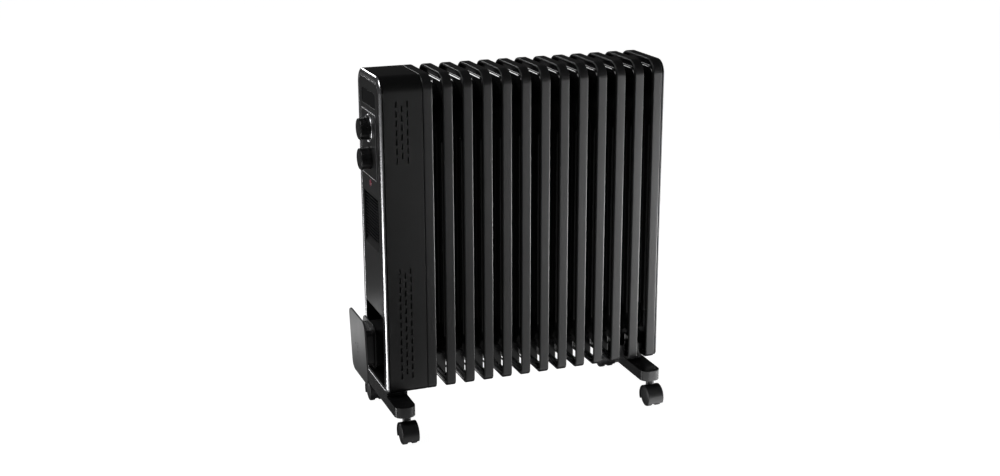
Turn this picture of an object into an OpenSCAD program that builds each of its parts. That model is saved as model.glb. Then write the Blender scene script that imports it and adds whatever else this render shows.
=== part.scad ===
// Oil-filled column radiator on castors: thirteen welded steel fins, a control
// tower at the -X end, two foot bars and four twin-wheel castors.
// Millimetres, +Z up, X along the row of fins, castors standing on z = 0.

/* [Fins] */
// Height of a fin
fin_h = 568; // [520:1:700]
// Depth of a fin, front to back
fin_d = 140; // [134:1:175]
// Distance from one fin to the next
fin_pitch = 36; // [31:0.5:46]
// Width of the folded rim round a fin
rim_w = 17.5; // [16:0.5:22]
// Depth of the hem where the rim turns in
rim_hem = 4; // [3:0.5:6]
// Thickness of the fin sheet
sheet_t = 1; // [0.8:0.1:2]
// Radius of a fin's upper corners
fin_r_top = 27; // [20:1:40]
// Radius of a fin's lower corners
fin_r_low = 10.5; // [8:0.5:20]
// Width of the solid border of a fin's web
web_border = 10; // [6:1:14]

/* [Oil passages] */
// Distance of the hub centres from a fin's top and bottom edges
hub_inset = 75; // [68:1:90]
// Radius of the collar that joins two fins
collar_r = 21.6; // [18:0.2:26]
// Radius of the pressed boss round the upper hub
boss_r_top = 55; // [48:1:60]
// Radius of the pressed boss round the lower hub
boss_r_low = 41; // [38:1:46]
// Radius of the inner step of a boss
step_r = 34; // [30:1:36]
// Width of the middle oil channel
channel_w_mid = 26; // [20:1:30]
// Width of each side oil channel
channel_w_side = 13; // [11:1:15]
// Distance from the middle channel to a side channel
channel_gap = 28; // [26:1:30]
// Distance from a side channel to the outer one
channel_gap_out = 19; // [17:1:20]

/* [Heating element] */
// Radius of the element's tube
element_r = 4.25; // [3:0.25:5]
// Half the distance between the element's two legs
element_half_gap = 8; // [7:0.5:10]
// Length of the element inside the fins
element_len = 330; // [200:5:380]

/* [Control tower] */
// Length of the tower's housing
tower_w = 71.2; // [64:0.2:90]
// Wall of the tower's housing
wall = 2.5; // [2:0.1:3]
// Gap between the tower and the first fin
tower_gap = 0.8; // [0.5:0.1:2]
// Width of the bright trim beside the panel
trim_w = 13; // [10:0.5:16]
// Width of the bright trim under the cord bay
trim_low_w = 7; // [6:0.5:12]
// How far the trim stands in front of the housing
trim_proud = 4; // [3.5:0.1:8]
// Height of a vent slot
vent_h = 10.5; // [8:0.5:12]
// Width of a vent slot
vent_w = 3; // [2:0.25:4]
// Distance between the columns of vent slots
vent_dx = 9.8; // [8:0.2:12]
// Distance between the slots of a column
vent_dz = 16.2; // [14:0.2:20]

/* [Controls] */
// Width of the display window
window_w = 84; // [60:1:90]
// Height of the display window
window_h = 27; // [20:1:34]
// Distance of the window's centre below the top
window_drop = 45; // [42:1:50]
// Width of the control plate
plate_w = 90; // [70:1:96]
// Height of the control plate
plate_h = 116; // [112:1:122]
// Distance of the upper knob below the top
knob_drop = 98; // [96:1:104]
// Distance between the two knobs
knob_gap = 53; // [51:1:56]
// Radius of a knob
knob_r = 18.8; // [15:0.2:20]
// Length of a knob
knob_len = 18; // [10:0.5:20]
// Radius of a knob's shaft
shaft_r = 3; // [2.5:0.1:4]
// Radius of the pilot light
pilot_r = 6; // [4:0.5:8]
// Distance of the pilot light below the lower knob
pilot_gap = 44; // [42:1:48]

/* [Air grille] */
// Width of the grille
grille_w = 96; // [70:1:102]
// Height of the grille
grille_h = 100; // [80:1:110]
// Distance of the grille's top edge below the top
grille_drop = 214; // [210:1:240]
// Number of slats
slat_count = 15; // [10:1:18]
// Height of the plain sloping ledge under the slats
ledge_h = 13; // [8:1:16]

/* [Cord store] */
// Height of the cord bay
bay_h = 137; // [126:1:160]
// Depth of the cord bay behind the housing's front edge
bay_depth = 25; // [18:1:30]
// Width of the winder's outer plate
winder_w = 104; // [80:1:110]
// Height of the winder's outer plate
winder_h = 119; // [90:1:122]
// Thickness of the winder's outer plate
winder_t = 3; // [2.5:0.5:5]
// Distance from the panel to the foot of the outer plate
winder_reach = 27; // [24:1:40]
// Lean of the outer plate, away from the panel at its top
winder_lean = 2; // [0:0.5:5]
// Width of the winder's core
core_w = 68; // [40:1:74]
// Height of the winder's core
core_h = 66; // [50:1:68]

/* [Feet] */
// Clearance from the floor to the underside of the fins
ground_gap = 80; // [76:1:100]
// Drop from the underside of the fins to the top of a foot bar
bar_drop = 8; // [6:0.5:12]
// Length of a foot bar, front to back
bar_len = 236; // [220:1:290]
// Width of a foot bar
bar_w = 38; // [32:1:46]
// Height of a foot bar
bar_h = 19; // [16:0.5:22]
// Radius of a foot bar's corners
bar_r = 15; // [8:1:16]
// Radius of the clamp rods
rod_r = 3; // [2.5:0.5:4]

/* [Castors] */
// Radius of a castor wheel
wheel_r = 19.4; // [16:0.2:21]
// Width of one wheel
wheel_t = 11.5; // [9:0.5:14]
// Radius of a wheel's axle
axle_r = 2.5; // [2:0.25:3.5]
// Distance from a bar's end to the castor's stem
stem_inset = 20; // [17:1:30]
// Distance from the stem to the axle
trail = 8; // [5:0.5:12]
// Sideways distance of the stems from the bar's middle
stem_shift = 5; // [0:0.5:5.5]
// Radius of the stem
stem_r = 5; // [4:0.5:6]

/* [Clearances] */
// Clearance of a shaft in its bore, on the radius
shaft_clear = 0.06; // [0.03:0.01:0.1]
// Clearance between pieces that fit together
fit = 0.3; // [0.2:0.05:0.4]
// Clearance between pieces that turn past each other
run = 0.5; // [0.4:0.1:0.8]

/* [Hidden] */
$fn = 96;

// one node per fin
fin_count = 13;
cover_t = 5.5;                       // thickness of the end cover
eps = 0.01;

// overall length, and the first fin's left edge when the whole is centred on x = 0
fins_len = (fin_count - 1)*fin_pitch + rim_w;
face_inset = 0.2;                    // panel set in from the trim's front
winder_out = winder_reach + winder_t*cos(winder_lean) + winder_h*sin(winder_lean);
x_fins = (tower_gap + tower_w + trim_proud - face_inset + winder_out - fins_len - cover_t)/2;
function fin_x(i) = x_fins + i*fin_pitch + rim_w/2;

// heights
z_fin = ground_gap;
z_top = z_fin + fin_h;
hub_z_low = z_fin + hub_inset;
hub_z_top = z_top - hub_inset;

// pressed shapes of a fin
web_t = 1.4;
boss_h = 3.6;
step_h = 7;
channel_h = 4.8;
press_slope = 2.5;                   // run of a pressed flank
wall_in = 0.9;                       // sheet left round the oil
bore_r = collar_r - 4;
open_r_low = boss_r_low + 5;         // web cut away outside this radius
open_h_low = 56;                     // top of the lower openings, above the fin's bottom
tab_w = 76;                          // width and height of the web's plain foot
tab_h = 28;
drain_r = 2.2;

// tower
x_back = x_fins - tower_gap;
x_front = x_back - tower_w;
x_face = x_front - trim_proud + face_inset; // front face of the panel
inner_w = fin_d - 2*trim_w;
inner_r_top = fin_r_top - trim_w;
inner_r_low = 8;
lip = 1.2;                           // ledge of the trim that carries the panel
back_t = 1.5;                        // back plate, and how far it is set in
back_inset = 1.5;
x_plate = x_back - back_inset - back_t;
screw_r = 1.6;
screw_y = fin_d/2 - 15;
screw_z = [z_fin + 32, z_top - 42];
bay_z0 = z_fin + trim_low_w;
bay_z1 = bay_z0 + bay_h;
plate_t = 0.8;                       // control plate
knob_z = z_top - knob_drop;
knob2_z = knob_z - knob_gap;
pilot_z = knob2_z - pilot_gap;
plate_z0 = knob2_z - 33;
ring_r = 25;
ring_w = 2.2;
ring_t = 2;
bush_r = 5;
switch_w = 34;                       // electrical bodies behind the panel
switch_d = 20;
shaft_len = 17;                      // from the panel's back into the switch

// cord winder
core_z = bay_z0 + 70;
x_winder = x_face - winder_reach;    // back of the outer plate, at its foot
flange_t = 3;
flange_margin = 6;
x_flange = x_face - 12;
core_t = 3;

// feet and castors
bar_z1 = z_fin - bar_drop;
bar_z0 = bar_z1 - bar_h;
bar_wall = 3;
bar_x_left = x_front + bar_w/2 - 1.7;
bar_x_right = fin_x(fin_count - 2) + fin_pitch/2;
saddle_h = 25;                       // saddle block between the last two fins
saddle_d = 104;
pad_d = fin_d - 2*fin_r_low;
rod_y = collar_r + rod_r + fit;
nut_h = 5;
web_frame_t = 6;                     // castor frame between its wheels
hood_t = 1.2;
hood_r = wheel_r + run + hood_t;
hood_z = 9;                          // height of the hood's lips
castor_w = web_frame_t + 2*run + 2*wheel_t;
axle_end = 2.4;                      // axle stops short of the castor's side
stem_up = 13;                        // length of the stem inside the bar
stem_y = bar_len/2 - stem_inset;

// ------------------------------------------------------------ helpers

// drawing in (y, z), made solid from x to x + t
module slab(x, t) {
    translate([x, 0, 0]) rotate([90, 0, 90]) linear_extrude(t) children();
}

// rod along X
module x_rod(x, y, z, r, len) {
    translate([x, y, z]) rotate([0, 90, 0]) cylinder(r = r, h = len);
}

// rectangle with round corners, its lower edge's middle at the origin
module round_rect(w, h, r_top, r_low) {
    translate([-w/2, r_low]) square([w, h - r_top - r_low]);
    translate([-w/2 + r_low, 0]) square([w - 2*r_low, h/2]);
    translate([-w/2 + r_top, h/2]) square([w - 2*r_top, h/2]);
    for (s = [-1, 1]) {
        translate([s*(w/2 - r_low), r_low]) circle(r = r_low);
        translate([s*(w/2 - r_top), h - r_top]) circle(r = r_top);
    }
}

// outline of a fin and of the tower, drawn in by inset
module outline(inset = 0) {
    translate([0, z_fin + inset])
        round_rect(fin_d - 2*inset, fin_h - 2*inset,
                   max(fin_r_top - inset, 1), max(fin_r_low - inset, 1));
}

// opening inside the trim, drawn in by inset
module inner_outline(inset = 0) {
    translate([0, bay_z0 + inset])
        round_rect(inner_w - 2*inset, z_top - trim_w - bay_z0 - 2*inset,
                   inner_r_top - inset, inner_r_low - inset);
}

// section drawn as (inwards, along X), swept round a fin's outline
module rim_sweep() {
    mid = fin_h - fin_r_top - fin_r_low;
    edges = [[fin_d - 2*fin_r_low, -fin_d/2 + fin_r_low, 0],
             [mid, fin_d/2, fin_r_low],
             [fin_d - 2*fin_r_top, fin_d/2 - fin_r_top, fin_h],
             [mid, -fin_d/2, fin_h - fin_r_top]];
    corners = [[fin_r_low, fin_d/2 - fin_r_low, fin_r_low],
               [fin_r_top, fin_d/2 - fin_r_top, fin_h - fin_r_top],
               [fin_r_top, -fin_d/2 + fin_r_top, fin_h - fin_r_top],
               [fin_r_low, -fin_d/2 + fin_r_low, fin_r_low]];
    for (k = [0:3]) {
        e = edges[k];
        c = corners[k];
        translate([0, e[1], z_fin + e[2]]) rotate([90*k, 0, 0])
            rotate([90, 0, 90]) rotate([90, 0, 90]) linear_extrude(e[0]) children();
        translate([0, c[1], z_fin + c[2]]) rotate([90*k, 0, 0]) rotate([0, 90, 0])
            rotate_extrude(angle = 90) translate([c[0], 0]) mirror([1, 0]) children();
    }
}

// section of the folded rim: a shallow channel with rounded outer edges
module rim_section() {
    r = 2;
    difference() {
        union() {
            translate([0, -rim_w/2 + r]) square([rim_hem, rim_w - 2*r]);
            translate([r, -rim_w/2]) square([rim_hem - r, rim_w]);
            for (s = [-1, 1]) translate([r, s*(rim_w/2 - r)]) circle(r = r);
        }
        translate([sheet_t, -rim_w/2 + sheet_t]) square([rim_hem, rim_w - 2*sheet_t]);
    }
}

// ------------------------------------------------------------ fins

// flank of a hub from the web outwards, as (radius, distance from the web)
function hub_flank(boss, reach, inset) = [
    [boss - inset, 0],
    [boss - press_slope - inset, boss_h - inset],
    [step_r - inset, boss_h - inset],
    [step_r - press_slope - inset, step_h - inset],
    [inset > 0 ? bore_r : collar_r, step_h - inset],
    [inset > 0 ? bore_r : collar_r, reach]];

// a hub turned about X, reaching left and right of the web
module hub(boss, left, right, inset = 0) {
    right_side = hub_flank(boss, right, inset);
    left_side = [for (p = hub_flank(boss, left, inset)) [p[0], -p[1]]];
    rotate([0, 90, 0]) rotate_extrude()
        polygon(concat([[0, -left]], [for (k = [5:-1:1]) left_side[k]],
                       right_side, [[0, right]]));
}

// an upright oil channel, its hexagonal section made smaller by inset
module channel(y, w, z0, z1, inset = 0) {
    h = channel_h - inset;
    half = w/2 - inset;
    translate([0, y, z0]) linear_extrude(z1 - z0)
        polygon([[0, -half], [h, press_slope - half], [h, half - press_slope],
                 [0, half], [-h, half - press_slope], [-h, press_slope - half]]);
}

module channels(inset = 0) {
    channel(0, channel_w_mid, hub_z_low, hub_z_top, inset);
    for (s = [-1, 1], side = [[channel_gap, 22, 30], [channel_gap + channel_gap_out, 12, 42]])
        channel(s*side[0], channel_w_side,
                hub_z_low + side[1] + inset, hub_z_top - side[2] - inset, inset);
}

module web_outline() {
    difference() {
        outline(sheet_t/2);
        difference() {
            intersection() {
                outline(web_border);
                translate([-fin_d/2, z_fin]) square([fin_d, open_h_low]);
            }
            translate([0, hub_z_low]) circle(r = open_r_low);
            translate([-tab_w/2, z_fin]) square([tab_w, tab_h]);
        }
    }
}

// fin i: folded rim, web, pressed hubs and channels, hollow for the oil
module fin(i) {
    last = i == fin_count - 1;
    reach = fin_pitch/2;
    right = last ? step_h + eps : reach;
    color([0.10, 0.10, 0.11]) translate([fin_x(i), 0, 0]) difference() {
        union() {
            rim_sweep() rim_section();
            slab(-web_t/2, web_t) web_outline();
            translate([0, 0, hub_z_top]) hub(boss_r_top, reach, right);
            translate([0, 0, hub_z_low]) hub(boss_r_low, reach, right);
            channels();
        }
        translate([0, 0, hub_z_top])
            hub(boss_r_top, reach + eps, last ? step_h - wall_in + eps : reach + eps, wall_in);
        translate([0, 0, hub_z_low])
            hub(boss_r_low, reach + eps, last ? step_h - wall_in + eps : reach + eps, wall_in);
        channels(wall_in);
        for (s = [-1, 1])
            translate([-rim_w/4, s*(fin_d/2 - 30), z_fin - eps])
                cylinder(r = drain_r, h = rim_hem);
    }
}

module end_cover() {
    edge = 2;
    color([0.03, 0.03, 0.03]) {
        slab(x_fins + fins_len, cover_t - edge) outline(edge);
        slab(x_fins + fins_len, cover_t) outline(2*edge);
    }
}

module heating_element() {
    x_in = fin_x(0) - fin_pitch/2;
    x_out = x_in - 24;
    x_end = x_in + element_len;
    color([0.45, 0.42, 0.38]) {
        for (s = [-1, 1])
            x_rod(x_out, 0, hub_z_low + s*element_half_gap, element_r, x_end - x_out);
        translate([x_end, 0, hub_z_low]) rotate([90, 0, 0]) rotate([0, 0, -90])
            rotate_extrude(angle = 180) translate([element_half_gap, 0]) circle(r = element_r);
    }
}

// screwed flange that closes the lower hub and carries the element
module element_flange() {
    x_in = fin_x(0) - fin_pitch/2;
    color([0.72, 0.58, 0.30]) difference() {
        union() {
            translate([x_in - 10, 0, hub_z_low]) rotate([0, 90, 0])
                cylinder(r = collar_r + 4, h = 10, $fn = 6);
            x_rod(x_in - eps, 0, hub_z_low, bore_r - fit, 6);
        }
        for (s = [-1, 1])
            x_rod(x_in - 20, 0, hub_z_low + s*element_half_gap, element_r + shaft_clear, 40);
    }
}

module filler_plug() {
    x_in = fin_x(0) - fin_pitch/2;
    color([0.72, 0.58, 0.30]) {
        translate([x_in - 6, 0, hub_z_top]) rotate([0, 90, 0])
            cylinder(r = collar_r, h = 6, $fn = 6);
        x_rod(x_in - eps, 0, hub_z_top, bore_r - fit, 6);
    }
}

// ------------------------------------------------------------ tower

// columns of vent slots, the middle one half a step lower
module vents(z_start, rows) {
    x_mid = x_front + 0.48*tower_w;
    for (col = [-1:1])
        for (row = [0:rows - 1 - (col == 0 ? 1 : 0)])
            translate([x_mid + col*vent_dx - vent_w/2, -fin_d,
                       z_start - row*vent_dz - (col == 0 ? vent_dz/2 : 0) - vent_h/2])
                cube([vent_w, 2*fin_d, vent_h]);
}

module tower_housing() {
    boss_len = 12;
    color([0.10, 0.10, 0.10]) difference() {
        union() {
            slab(x_front, tower_w) difference() {
                outline();
                outline(wall);
            }
            for (s = [-1, 1], z = screw_z) {
                x_rod(x_plate - boss_len, s*screw_y, z, 4.5, boss_len);
                translate([x_plate - boss_len, s*(screw_y + 7) - 5.5, z - 1])
                    cube([boss_len, 11, 2]);
            }
        }
        for (s = [-1, 1], z = screw_z)
            x_rod(x_plate - boss_len + 2, s*screw_y, z, screw_r + shaft_clear, boss_len);
        vents(z_top - 46, 7);
        vents(z_fin + 227, 13);
        for (s = [-1, 1])
            translate([bar_x_left, s*rod_y, z_fin - 1]) cylinder(r = rod_r + fit, h = wall + 2);
    }
}

module tower_back_plate() {
    color([0.55, 0.55, 0.56]) slab(x_plate, back_t) difference() {
        outline(wall + fit);
        for (s = [-1, 1], z = screw_z) translate([s*screw_y, z]) circle(r = screw_r + fit);
        for (z = [hub_z_low, hub_z_top]) translate([0, z]) circle(r = collar_r + fit);
        translate([0, (hub_z_low + hub_z_top)/2]) circle(r = 16);
    }
}

module panel_trim() {
    color([0.80, 0.80, 0.82]) {
        slab(x_front - trim_proud, trim_proud - lip) difference() {
            outline();
            inner_outline();
        }
        slab(x_front - lip, lip) difference() {
            outline();
            inner_outline(lip);
        }
        slab(x_front - eps, 6) difference() {
            outline(wall + fit);
            outline(wall + fit + 1.8);
        }
    }
}

module front_panel() {
    color([0.22, 0.22, 0.23]) slab(x_face, x_front - lip - x_face) difference() {
        intersection() {
            inner_outline(fit);
            translate([-fin_d/2, bay_z1 + fit]) square([fin_d, fin_h]);
        }
        translate([0, z_top - window_drop - window_h/2])
            round_rect(window_w, window_h, 9, 7);
        for (z = [knob_z, knob2_z]) translate([0, z]) circle(r = bush_r + fit);
        translate([0, pilot_z]) circle(r = pilot_r + shaft_clear);
        translate([0, z_top - grille_drop - grille_h]) round_rect(grille_w, grille_h, 2, 2);
    }
}

module display_window() {
    color([0.02, 0.02, 0.025]) slab(x_face + 0.6, 1.6)
        translate([0, z_top - window_drop - window_h/2 + fit])
            round_rect(window_w - 2*fit, window_h - 2*fit, 9 - fit, 7 - fit);
}

module control_plate() {
    color([0.13, 0.13, 0.14]) slab(x_face - plate_t, plate_t) difference() {
        translate([0, plate_z0]) round_rect(plate_w, plate_h, 11, 9);
        for (z = [knob_z, knob2_z]) translate([0, z]) circle(r = bush_r + fit);
    }
}

module thermostat_ring() {
    color([0.88, 0.88, 0.90]) slab(x_face - plate_t - ring_t, ring_t)
        translate([0, knob_z]) difference() {
            circle(r = ring_r);
            circle(r = ring_r - ring_w);
        }
}

// a knob turned about X, its face at -X, bored from behind for its shaft
module knob(z) {
    base = run;
    soft = 1.5;
    translate([x_face - plate_t - base, 0, z]) rotate([0, -90, 0]) difference() {
        rotate_extrude() {
            square([knob_r + 0.8, 2]);
            polygon([[0, 0], [knob_r + 0.8, 2], [knob_r, knob_len - soft],
                     [knob_r - soft*0.3, knob_len - soft*0.3], [knob_r - soft, knob_len],
                     [0, knob_len]]);
        }
        translate([0, 0, -1]) cylinder(r = shaft_r + 0.02, h = knob_len - 3);
        translate([knob_r*0.45, -0.8, knob_len - 0.8]) cube([knob_r*0.4, 1.6, 2]);
    }
}

module knob_shaft(z) {
    x_tip = x_face - plate_t - run - knob_len + 5;
    x_rod(x_tip, 0, z, shaft_r, x_front + shaft_len - x_tip);
}

module thermostat_knob() {
    color([0.12, 0.12, 0.12]) knob(knob_z);
}

module thermostat_shaft() {
    color([0.75, 0.75, 0.76]) knob_shaft(knob_z);
}

module power_knob() {
    color([0.12, 0.12, 0.12]) knob(knob2_z);
}

module selector_shaft() {
    color([0.75, 0.75, 0.76]) knob_shaft(knob2_z);
}

// electrical body behind the panel, with the threaded bush its shaft turns in
module switch_body(z, h) {
    difference() {
        union() {
            translate([x_front - lip, -switch_w/2, z - h/2]) cube([switch_d, switch_w, h]);
            x_rod(x_face - plate_t + 0.2, 0, z, bush_r, x_front - x_face + plate_t);
        }
        x_rod(x_face - 5, 0, z, shaft_r + shaft_clear, x_front + shaft_len + 6 - x_face);
    }
}

module thermostat_body() {
    color([0.70, 0.66, 0.58]) switch_body(knob_z, 42);
}

module selector_switch() {
    color([0.16, 0.16, 0.17]) switch_body(knob2_z, 32);
}

module pilot_lens() {
    dome = 1.6;
    color([0.85, 0.35, 0.36]) translate([x_front - lip + 6, 0, pilot_z]) rotate([0, -90, 0]) {
        cylinder(r = pilot_r, h = x_front - lip + 6 - x_face);
        translate([0, 0, x_front - lip + 6 - x_face - eps]) rotate_extrude()
            polygon([[0, 0], [pilot_r, 0], [pilot_r*0.94, dome*0.45],
                     [pilot_r*0.72, dome*0.82], [0, dome]]);
    }
}

// frame, sloping ledge and slats of the air intake
module intake_grille() {
    z0 = z_top - grille_drop - grille_h + fit;
    w = grille_w - 2*fit;
    h = grille_h - 2*fit;
    depth = 11;
    frame_t = 1.8;
    pitch = (h - ledge_h - frame_t)/slat_count;
    slat_t = 1.3;
    color([0.15, 0.15, 0.16]) {
        slab(x_face, depth) difference() {
            translate([0, z0]) round_rect(w, h, 2, 2);
            translate([0, z0 + frame_t]) round_rect(w - 2*frame_t, h - 2*frame_t, 1, 1);
        }
        translate([x_face, w/2, z0]) rotate([90, 0, 0]) linear_extrude(w)
            polygon([[0.2, frame_t - eps], [depth - 3, ledge_h], [depth, ledge_h],
                     [depth, frame_t - eps]]);
        for (k = [0:slat_count - 1])
            translate([x_face + 2.4, -w/2 + 0.5, z0 + ledge_h + pitch*(k + 0.5)])
                rotate([0, 32, 0]) translate([0, 0, -slat_t/2]) cube([7, w - 1, slat_t]);
    }
}

// ------------------------------------------------------------ cord store

module cord_bay() {
    t = 1.8;
    w = inner_w - 2*lip - 2*fit;
    z0 = bay_z0 + lip + fit;
    h = bay_h - lip - fit;
    color([0.14, 0.14, 0.15]) difference() {
        union() {
            slab(x_face, x_front - lip - x_face) intersection() {
                inner_outline(fit);
                translate([-fin_d/2, bay_z0]) square([fin_d, bay_h]);
            }
            slab(x_front - lip - eps, bay_depth + lip) translate([0, z0])
                round_rect(w, h, 3, inner_r_low - lip - fit);
        }
        slab(x_face - 1, x_front - x_face + bay_depth + 1 - t) translate([0, z0 + t])
            round_rect(w - 2*t, h - 2*t, 2, inner_r_low - lip - fit - t);
        x_rod(x_front + bay_depth - t - 1, inner_w/2 - 16, bay_z0 + 20, 6.5 + fit, t + 4);
    }
}

// rubber gland for the lead in the back of the cord bay
module cord_inlet() {
    x_wall = x_front + bay_depth - 1.8;
    color([0.05, 0.05, 0.05]) difference() {
        union() {
            x_rod(x_wall - 8, inner_w/2 - 16, bay_z0 + 20, 6.5, 16);
            x_rod(x_wall - 2, inner_w/2 - 16, bay_z0 + 20, 9, 2);
        }
        x_rod(x_wall - 9, inner_w/2 - 16, bay_z0 + 20, 3.6, 18);
    }
}

// hollow core and inner flange that the lead is wound on
module winder_hub() {
    x_wall = x_front + bay_depth - 1.8;
    color([0.14, 0.14, 0.15]) difference() {
        union() {
            slab(x_winder + 2, x_wall - x_winder - 2)
                translate([0, core_z - core_h/2]) round_rect(core_w, core_h, 10, 10);
            slab(x_flange, flange_t)
                translate([0, core_z - core_h/2 - flange_margin])
                    round_rect(core_w + 2*flange_margin, core_h + 2*flange_margin + 4, 14, 14);
        }
        slab(x_winder + 2 + core_t, x_wall - x_winder)
            translate([0, core_z - core_h/2 + core_t])
                round_rect(core_w - 2*core_t, core_h - 2*core_t, 7, 7);
    }
}

// outer plate, leaning out at its top, with its press-through pattern of holes
module winder_plate() {
    hole_pitch = 9;
    color([0.33, 0.33, 0.34])
        translate([x_winder, 0, bay_z0 + (bay_h - winder_h)/2 - 1]) rotate([0, -winder_lean, 0])
            difference() {
                translate([-winder_t, 0, 0]) rotate([90, 0, 90]) linear_extrude(winder_t)
                    round_rect(winder_w, winder_h, 15, 15);
                for (k = [0:3]) translate([-winder_t - 1, 8 - k*1.5, winder_h*0.3 + k*hole_pitch])
                    rotate([0, 90, 0]) cylinder(r = 1.5, h = winder_t + 2);
                for (s = [-1, 1])
                    translate([-winder_t - 1, 10 + s*8, winder_h*0.3 + 2.5*hole_pitch])
                        rotate([0, 90, 0]) cylinder(r = 1.5, h = winder_t + 2);
                rotate([0, winder_lean, 0]) translate([2, -core_w, 0])
                    cube([winder_h, 2*core_w, winder_h]);
            }
}

// ------------------------------------------------------------ inside the tower

module terminal_block() {
    poles = 3;
    pole_w = 12;
    x0 = x_plate - 20;
    z0 = (hub_z_low + hub_z_top)/2 - 60;
    color([0.92, 0.91, 0.86]) difference() {
        translate([x0, -poles*pole_w/2, z0]) cube([20, poles*pole_w, 24]);
        for (k = [0:poles - 1])
            x_rod(x0 - 1, (k - 1)*pole_w, z0 + 12, 3.2, 15);
    }
}

module tip_over_switch() {
    color([0.12, 0.12, 0.13]) {
        translate([x_plate - 28, -15, bay_z1 + 18]) cube([28, 30, 30]);
        translate([x_plate - 20, -7, bay_z1 + 10]) cube([12, 14, 8]);
    }
}

module thermal_cutout() {
    z = (hub_z_low + hub_z_top)/2 + 60;
    color([0.78, 0.76, 0.72]) {
        x_rod(x_plate - 6, 0, z, 9, 6);
        translate([x_plate - 1, -20, z - 5]) cube([1, 40, 10]);
        for (s = [-1, 1]) translate([x_plate - 16, s*5 - 3, z - 0.4]) cube([10, 6, 0.8]);
    }
}

// four screws that hold the back plate to the housing
module panel_screws() {
    color([0.70, 0.70, 0.71])
        for (s = [-1, 1], z = screw_z) {
            x_rod(x_plate + back_t, s*screw_y, z, 3.5, 2.2);
            x_rod(x_plate - 9, s*screw_y, z, screw_r, 9 + back_t + eps);
        }
}

// ------------------------------------------------------------ feet

// one foot bar; its pads stand on it, each as [middle along X, width, depth, height]
module foot_bar(x, pads) {
    pocket_w = bar_w - 2*bar_wall;
    color([0.11, 0.11, 0.11]) difference() {
        union() {
            translate([x, 0, bar_z0]) linear_extrude(bar_h) translate([0, -bar_len/2])
                round_rect(bar_w, bar_len, bar_r, bar_r);
            for (p = pads) translate([p[0] - p[1]/2, -p[2]/2, bar_z1 - eps])
                cube([p[1], p[2], p[3]]);
        }
        translate([x, 0, bar_z0 - eps]) difference() {
            linear_extrude(bar_h - bar_wall) translate([0, -bar_len/2 + bar_wall])
                round_rect(pocket_w, bar_len - 2*bar_wall, bar_r - bar_wall, bar_r - bar_wall);
            for (s = [-1, 1]) {
                translate([stem_shift, s*stem_y, -1]) cylinder(r = stem_r + 3.5, h = bar_h);
                translate([0, s*rod_y, 6]) cylinder(r = rod_r + 4, h = bar_h);
            }
        }
        for (s = [-1, 1]) {
            translate([x + stem_shift, s*stem_y, bar_z0 - 1])
                cylinder(r = stem_r + shaft_clear, h = stem_up + 1.2);
            translate([x, s*rod_y, bar_z0 - 1]) cylinder(r = rod_r + fit, h = fin_h);
        }
    }
}

module foot_bar_left() {
    foot_bar(bar_x_left, [[bar_x_left, bar_w, pad_d, bar_drop]]);
}

// its pad reaches under the last fin but one, and fills two gaps between fins
module foot_bar_right() {
    gap_w = fin_pitch - rim_w - 2*fit;
    x_out = bar_x_right + gap_w/2;
    x_in = bar_x_right - fin_pitch - gap_w/2;
    foot_bar(bar_x_right, [
        [(x_in + x_out)/2, x_out - x_in, saddle_d, bar_drop - fit],
        [bar_x_right, gap_w, saddle_d, bar_drop + saddle_h],
        [bar_x_right - fin_pitch, gap_w, saddle_d, bar_drop + saddle_h]]);
}

// U-bolt over the lower collars at the right, studded strap inside the tower at the left
module foot_clamps() {
    z_end = bar_z0 + 3;
    color([0.72, 0.72, 0.73]) {
        for (s = [-1, 1]) {
            translate([bar_x_right, s*rod_y, z_end]) cylinder(r = rod_r, h = hub_z_low - z_end);
            translate([bar_x_left, s*rod_y, z_end]) cylinder(r = rod_r, h = z_fin + wall + 1 - z_end);
        }
        translate([bar_x_right, 0, hub_z_low]) rotate([90, 0, 90])
            rotate_extrude(angle = 180) translate([rod_y, 0]) circle(r = rod_r);
        translate([bar_x_left - 7, -rod_y - 7, z_fin + wall]) cube([14, 2*rod_y + 14, 2]);
    }
}

// four wing nuts inside the foot bars
module foot_wing_nuts() {
    color([0.72, 0.72, 0.73])
        for (x = [bar_x_left, bar_x_right], s = [-1, 1])
            translate([x, s*rod_y, bar_z0 + 6 - nut_h - eps]) difference() {
                union() {
                    cylinder(r = 5.5, h = nut_h);
                    translate([-11, -1, 0]) cube([22, 2, nut_h]);
                }
                translate([0, 0, -1]) cylinder(r = rod_r + shaft_clear, h = nut_h + 2);
            }
}

// ------------------------------------------------------------ castors

// a castor at one end of a bar: side is -1 at the front and 1 at the rear
module castor_frame(x, side) {
    y_stem = side*stem_y;
    y_axle = y_stem + side*trail;
    z_stem = wheel_r + hood_r*0.7;
    color([0.10, 0.10, 0.10]) {
        slab(x - web_frame_t/2, web_frame_t) difference() {
            translate([y_axle, wheel_r]) circle(r = hood_r);
            translate([y_axle - 2*hood_r, hood_z - 4*hood_r]) square(4*hood_r);
            translate([y_axle, wheel_r]) circle(r = axle_r + shaft_clear);
        }
        slab(x - castor_w/2, castor_w) difference() {
            translate([y_axle, wheel_r]) circle(r = hood_r);
            translate([y_axle, wheel_r]) circle(r = hood_r - hood_t);
            translate([y_axle - 2*hood_r, hood_z - 4*hood_r]) square(4*hood_r);
        }
        difference() {
            translate([x, y_stem, z_stem]) {
                cylinder(r = stem_r, h = bar_z0 + stem_up - z_stem);
                cylinder(r = stem_r + 2.5, h = bar_z0 - 1 - z_stem);
            }
            x_rod(x - castor_w, y_axle, wheel_r, hood_r - hood_t/2, 2*castor_w);
        }
    }
}

module castor_axle(x, side) {
    y_axle = side*(stem_y + trail);
    color([0.75, 0.75, 0.76]) x_rod(x - castor_w/2 + axle_end, y_axle, wheel_r, axle_r, castor_w - 2*axle_end);
}

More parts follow.
